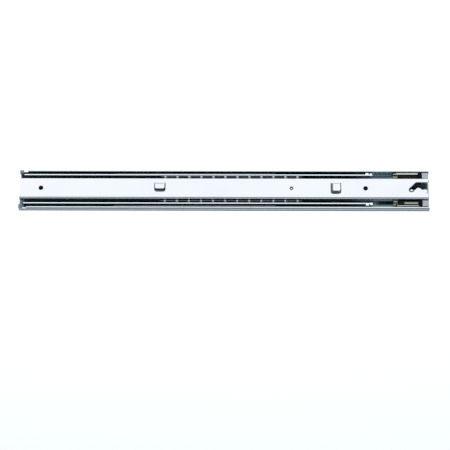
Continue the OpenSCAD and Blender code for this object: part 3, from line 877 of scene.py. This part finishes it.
class SLIDE_OT_follower_pin(bpy.types.Operator):
    """Turn the follower pin, polished on its end, with near-black painted shadow on its flank"""

    bl_idname = "drawer_slide.follower_pin"
    bl_label = "Follower Pin"
    bl_options = {"REGISTER", "UNDO"}

    def execute(self, context):
        colours = context.scene.slide_colours
        centre, radius, end, root = round_node("follower_pin")
        neck = radius - 0.3 * MM
        profile = [
            (0.0, end),
            (radius - 0.5 * MM, end),
            (radius - 0.14 * MM, end + 0.12 * MM),
            (radius, end + 0.45 * MM),
            (radius, root - 1.4 * MM),
            (neck, root - 1.4 * MM),
            (neck, root),
            (0.0, root),
        ]
        polished = polished_steel("pin_steel", colours.ball)
        # Near-black painted shadow for the pin's flank, in the gap of the cam slot.
        greased = plated_steel("pin_shadow", colours.grease, roughness=(0.3, 0.45))
        bm = lathe(profile, centre)
        paint_faces(bm, 1, lambda c, n: n.y > -0.6)
        new_piece(bm, "follower_pin_steel", "interlock", "follower_pin",
                  [polished, greased])
        return {"FINISHED"}


# --- Levers --------------------------------------------------------------------------------------


class SLIDE_OT_disconnect_lever(bpy.types.Operator):
    """Finish the disconnect lever behind the inner rail"""

    bl_idname = "drawer_slide.disconnect_lever"
    bl_label = "Disconnect Lever"
    bl_options = {"REGISTER", "UNDO"}

    def execute(self, context):
        sizes, colours = context.scene.slide_sizes, context.scene.slide_colours
        bm = rounded_copy("disconnect_lever", sizes.moulded_edge)
        new_piece(bm, "disconnect_lever_moulding", "disconnect",
                  "disconnect_lever", [moulded("lever_moulding", colours.lever)])
        return {"FINISHED"}


class SLIDE_OT_interlock_lever(bpy.types.Operator):
    """Finish the interlock lever, with painted shadow round its pin"""

    bl_idname = "drawer_slide.interlock_lever"
    bl_label = "Interlock Lever"
    bl_options = {"REGISTER", "UNDO"}

    def execute(self, context):
        sizes, colours = context.scene.slide_sizes, context.scene.slide_colours
        centre, _, _, _ = round_node("follower_pin")
        pin = (centre[0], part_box("interlock_lever")[0].y, centre[1])
        # Near-black painted shadow round the pin, where the cam slot's gap shows the lever.
        steel = plated_steel(
            "interlock_steel", colours.interlock, roughness=(0.35, 0.5), stain=0.8, metallic=0.25,
            cover=shadow_round_pin(pin, colours.grease),
        )
        bm = rounded_copy("interlock_lever", sizes.clip_edge)
        new_piece(bm, "interlock_lever_steel", "interlock", "interlock_lever",
                  [steel])
        return {"FINISHED"}


# --- Stage ---------------------------------------------------------------------------------------


class SLIDE_OT_stage(bpy.types.Operator):
    """Make the floor, lamps, world and camera"""

    bl_idname = "drawer_slide.stage"
    bl_label = "Stage"
    bl_options = {"REGISTER", "UNDO"}

    def execute(self, context):
        scene, stage = context.scene, context.scene.slide_stage
        scene.view_settings.view_transform = "Standard"
        centre = Vector(((OUTER_LOW.x + OUTER_HIGH.x) / 2, 0.0, 0.0))
        self.floor(scene, stage, centre)
        self.world(scene, stage)
        for lamp in LAMPS:
            self.lamp(scene, centre, *lamp)
        self.camera(scene, stage)
        return {"FINISHED"}

    def floor(self, scene, stage, centre):
        """The floor under the slide."""
        bm = bmesh.new()
        bmesh.ops.create_grid(bm, x_segments=1, y_segments=1, size=stage.floor_size / 2)
        place = (centre.x, 0.0, OUTER_LOW.z - stage.floor_drop)
        bmesh.ops.translate(bm, vec=place, verts=bm.verts)
        mesh = bpy.data.meshes.new("studio_floor")
        bm.to_mesh(mesh)
        bm.free()
        mesh.materials.append(self.floor_finish(stage))
        floor = bpy.data.objects.new("studio_floor", mesh)
        scene.collection.objects.link(floor)

    def floor_finish(self, stage):
        """Pale matt paint that the camera and the metal see as white."""
        f = Finish("pale_floor")
        f.shader.inputs["Roughness"].default_value = 0.9
        f.shader.inputs["Specular IOR Level"].default_value = 0.1
        clouds = f.between(f.noise(1.2, detail=2.0), 0.0, 1.0)
        f.wear(Base_Color=f.mix(clouds, stage.floor, stage.floor_cloud))
        path = f.add("ShaderNodeLightPath").outputs
        seen = f.maths("MAXIMUM", path["Is Camera Ray"], path["Is Glossy Ray"])
        lift = f.add("ShaderNodeEmission", Color=(1.0, 1.0, 1.0, 1.0), Strength=stage.floor_lift)
        clear = f.add("ShaderNodeBsdfTransparent", Color=(0.0, 0.0, 0.0, 1.0))
        extra = f.add("ShaderNodeMixShader")
        for output, socket in zip((seen, clear.outputs[0], lift.outputs[0]), extra.inputs):
            f.join(output, socket)
        both = f.add("ShaderNodeAddShader")
        f.join(f.shader.outputs[0], both.inputs[0])
        f.join(extra.outputs[0], both.inputs[1])
        f.join(both.outputs[0], f.tree.nodes["Material Output"].inputs["Surface"])
        return f.material

    def world(self, scene, stage):
        """A dim room that the camera sees as white."""
        world = bpy.data.worlds.new("studio_world")
        scene.world = world
        world.use_nodes = True
        nodes, links = world.node_tree.nodes, world.node_tree.links
        room = nodes["Background"]
        room.inputs["Color"].default_value = (*stage.room, 1.0)
        room.inputs["Strength"].default_value = 1.0
        white = nodes.new("ShaderNodeBackground")
        white.inputs["Color"].default_value = (1.0, 1.0, 1.0, 1.0)
        seen = nodes.new("ShaderNodeLightPath").outputs["Is Camera Ray"]
        mix = nodes.new("ShaderNodeMixShader")
        for output, socket in zip((seen, room.outputs[0], white.outputs[0]), mix.inputs):
            links.new(output, socket)
        links.new(mix.outputs[0], nodes["World Output"].inputs["Surface"])

    def lamp(self, scene, target, name, place, size, power, shows):
        """A square softbox that faces its target."""
        data = bpy.data.lights.new(name, "AREA")
        data.shape = "SQUARE"
        data.size = size
        data.energy = power
        lamp = bpy.data.objects.new(name, data)
        scene.collection.objects.link(lamp)
        lamp.location = target + Vector(place)
        lamp.rotation_euler = (-Vector(place)).to_track_quat("-Z", "Y").to_euler()
        lamp.visible_glossy = shows

    def camera(self, scene, stage):
        """The camera, turned about its line of sight by the roll."""
        data = bpy.data.cameras.new("slide_camera")
        data.lens = stage.lens
        data.sensor_width = 36.0
        data.clip_start, data.clip_end = 0.05, 50.0
        camera = bpy.data.objects.new("slide_camera", data)
        scene.collection.objects.link(camera)
        look = Vector((
            math.sin(stage.azimuth) * math.cos(stage.elevation),
            math.cos(stage.azimuth) * math.cos(stage.elevation),
            -math.sin(stage.elevation),
        ))
        right = look.cross(Vector((0.0, 0.0, 1.0))).normalized()
        up = right.cross(look)
        c, s = math.cos(stage.roll), math.sin(stage.roll)
        turn = Matrix((c * right + s * up, c * up - s * right, -look)).transposed().to_4x4()
        place = Vector(stage.target) - look * stage.distance
        camera.matrix_world = Matrix.Translation(place) @ turn
        scene.camera = camera


# --- Panel and registration ----------------------------------------------------------------------

OPERATORS = (
    SLIDE_OT_outer_rail, SLIDE_OT_middle_rail, SLIDE_OT_inner_rail, SLIDE_OT_ball_rows,
    SLIDE_OT_ball_cages, SLIDE_OT_rear_bracket, SLIDE_OT_spring_arms, SLIDE_OT_arm_pads,
    SLIDE_OT_arm_tips, SLIDE_OT_rear_buffers, SLIDE_OT_arm_leaf, SLIDE_OT_rear_rivet,
    SLIDE_OT_lever_eyelet, SLIDE_OT_follower_pin, SLIDE_OT_disconnect_lever,
    SLIDE_OT_interlock_lever, SLIDE_OT_stage,
)


class SLIDE_PT_panel(bpy.types.Panel):
    """Sizes, colours and steps of the slide's finish"""

    bl_idname = "SLIDE_PT_panel"
    bl_label = "Drawer Slide"
    bl_space_type = "VIEW_3D"
    bl_region_type = "UI"
    bl_category = "Drawer Slide"

    def draw(self, context):
        scene = context.scene
        for group in (scene.slide_sizes, scene.slide_colours, scene.slide_stage):
            box = self.layout.box()
            for key in group.__annotations__:
                box.prop(group, key)
        for operator in OPERATORS:
            self.layout.operator(operator.bl_idname)


CLASSES = (SlideSizes, SlideColours, SlideStage, *OPERATORS, SLIDE_PT_panel)


def register():
    """Registers the classes and hangs the properties on the scene."""
    for cls in CLASSES:
        bpy.utils.register_class(cls)
    bpy.types.Scene.slide_sizes = PointerProperty(type=SlideSizes)
    bpy.types.Scene.slide_colours = PointerProperty(type=SlideColours)
    bpy.types.Scene.slide_stage = PointerProperty(type=SlideStage)


def unregister():
    """Takes the properties and the classes away again."""
    del bpy.types.Scene.slide_stage
    del bpy.types.Scene.slide_colours
    del bpy.types.Scene.slide_sizes
    for cls in reversed(CLASSES):
        bpy.utils.unregister_class(cls)


def main():
    """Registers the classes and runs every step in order."""
    register()
    bpy.ops.drawer_slide.outer_rail()
    bpy.ops.drawer_slide.middle_rail()
    bpy.ops.drawer_slide.inner_rail()
    bpy.ops.drawer_slide.ball_rows()
    bpy.ops.drawer_slide.ball_cages()
    bpy.ops.drawer_slide.rear_bracket()
    bpy.ops.drawer_slide.spring_arms()
    bpy.ops.drawer_slide.arm_pads()
    bpy.ops.drawer_slide.arm_tips()
    bpy.ops.drawer_slide.rear_buffers()
    bpy.ops.drawer_slide.arm_leaf()
    bpy.ops.drawer_slide.rear_rivet()
    bpy.ops.drawer_slide.lever_eyelet()
    bpy.ops.drawer_slide.follower_pin()
    bpy.ops.drawer_slide.disconnect_lever()
    bpy.ops.drawer_slide.interlock_lever()
    bpy.ops.drawer_slide.stage()


if __name__ == "__main__":
    main()
